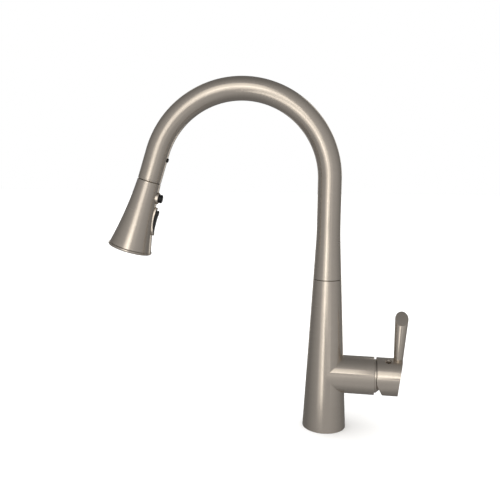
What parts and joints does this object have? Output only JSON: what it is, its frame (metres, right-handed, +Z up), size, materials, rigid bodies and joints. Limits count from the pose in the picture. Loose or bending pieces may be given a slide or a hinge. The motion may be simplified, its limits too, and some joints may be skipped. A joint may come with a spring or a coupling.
{
  "type": "pull down kitchen faucet",
  "caption": "Single-handle high-arc kitchen faucet in brushed nickel with a swivelling spout, a pull-down two-function spray head and a side lever.",
  "frame": {"origin": "centre of the base's underside, where the body's axis meets the deck", "axes": "+Z up along the body, +X along the handle's side stub, -Y towards the front; at rest the spout leads away from the handle, 6.55 degrees towards the front"},
  "size_m": [0.3601, 0.0798, 0.4208],
  "materials": {
    "brushed_nickel": "warm satin nickel, brushed round its length",
    "brass": "machined brass",
    "steel": "plain stainless steel",
    "black_plastic": "black, fine satin texture",
    "grey_plastic": "grey, satin",
    "white_plastic": "natural white acetal",
    "ceramic": "lapped",
    "rubber": "black",
    "grey_rubber": "soft grey silicone",
    "hose_braid": "grey braided polyester over a rubber tube"
  },
  "bodies": {
    "base": {"body_shell": "brushed_nickel", "base_gasket": "rubber", "mounting_insert": "brass", "valve_manifold": "brass", "hot_nipple": "brass", "outlet_nipple": "brass", "cold_nipple": "brass", "cartridge_seal": "rubber", "cartridge_foot": "white_plastic", "fixed_disc": "ceramic", "cartridge_housing": "white_plastic", "retaining_nut": "brass", "dome_ring": "brushed_nickel", "dome_oring": "rubber", "swivel_hub": "brass", "lower_glide_ring": "white_plastic", "upper_glide_ring": "white_plastic", "hub_oring": "rubber", "snap_ring": "steel", "hose_lower_run": "hose_braid"},
    "spout": {"spout_tube": "brushed_nickel", "dock_collar": "black_plastic", "dock_screw": "black_plastic", "hose_arch_run": "hose_braid", "hose_outlet_run": "hose_braid"},
    "hose_end": {"hose_ferrule": "steel"},
    "spray_head": {"hose_nut": "grey_plastic", "head_shell": "brushed_nickel", "head_inlet": "brass", "inlet_screen": "steel", "check_valve": "white_plastic", "head_core": "white_plastic", "pause_bezel": "brushed_nickel", "pause_spring": "steel", "rocker_bezel": "brushed_nickel", "rocker_pin": "steel", "nozzle_mat": "grey_rubber", "spray_face": "grey_plastic", "aerator": "grey_plastic", "aerator_screen": "steel", "lip_ring": "brushed_nickel"},
    "pause": {"pause_button": "black_plastic", "pause_plunger": "white_plastic"},
    "rocker": {"spray_rocker": "black_plastic"},
    "diverter": {"diverter_spool": "white_plastic", "spool_oring": "rubber"},
    "mixer": {"cartridge_rotor": "grey_plastic", "stem_pin": "steel"},
    "lever": {"cartridge_stem": "steel", "handle_cap": "brushed_nickel", "lever_rod": "brushed_nickel", "set_screw": "steel"},
    "flow_disc": {"disc_carrier": "white_plastic", "moving_disc": "ceramic"}
  },
  "joints": [
    {"name": "spout_swivel", "type": "hinge", "parent": "base", "child": "spout", "pos_m": [0, 0, 0.184], "axis": [0, 0, 1], "continuous": true},
    {"name": "head_pull", "type": "slide", "parent": "spout", "child": "hose_end", "axis": [-0.2905, -0.0334, -0.9563], "range_m": [0, 0.45], "deforming": ["hose_outlet_run"]},
    {"name": "head_spin", "type": "hinge", "parent": "hose_end", "child": "spray_head", "pos_m": [-0.21351, -0.02451, 0.29932], "axis": [-0.2905, -0.0334, -0.9563], "continuous": true},
    {"name": "pause_press", "type": "slide", "parent": "spray_head", "child": "pause", "axis": [-0.972, -0.1116, 0.2066], "range_m": [0, 0.002], "stiffness_N_per_m": 500, "deforming": ["pause_spring"]},
    {"name": "rocker_tilt", "type": "hinge", "parent": "spray_head", "child": "rocker", "pos_m": [-0.21152, -0.02429, 0.24902], "axis": [0.1141, -0.9935, 0], "range_deg": [0, 10]},
    {"name": "diverter_slide", "type": "slide", "parent": "spray_head", "child": "diverter", "axis": [-0.2905, -0.0334, -0.9563], "range_m": [0, 0.0007]},
    {"name": "temperature_turn", "type": "hinge", "parent": "base", "child": "mixer", "pos_m": [0, 0, 0.0671], "axis": [1, 0, 0], "range_deg": [-50, 50]},
    {"name": "flow_lift", "type": "hinge", "parent": "mixer", "child": "lever", "pos_m": [0.047, 0, 0.0671], "axis": [0, 1, 0], "range_deg": [0, 20]},
    {"name": "flow_disc_slide", "type": "slide", "parent": "mixer", "child": "flow_disc", "axis": [0, 0, 1], "range_m": [0, 0.0037]}
  ],
  "couplings": [
    {"joint": "diverter_slide", "follows": "rocker_tilt", "m_per_rad": 0.0039},
    {"joint": "flow_disc_slide", "follows": "flow_lift", "m_per_rad": 0.0102}
  ]
}
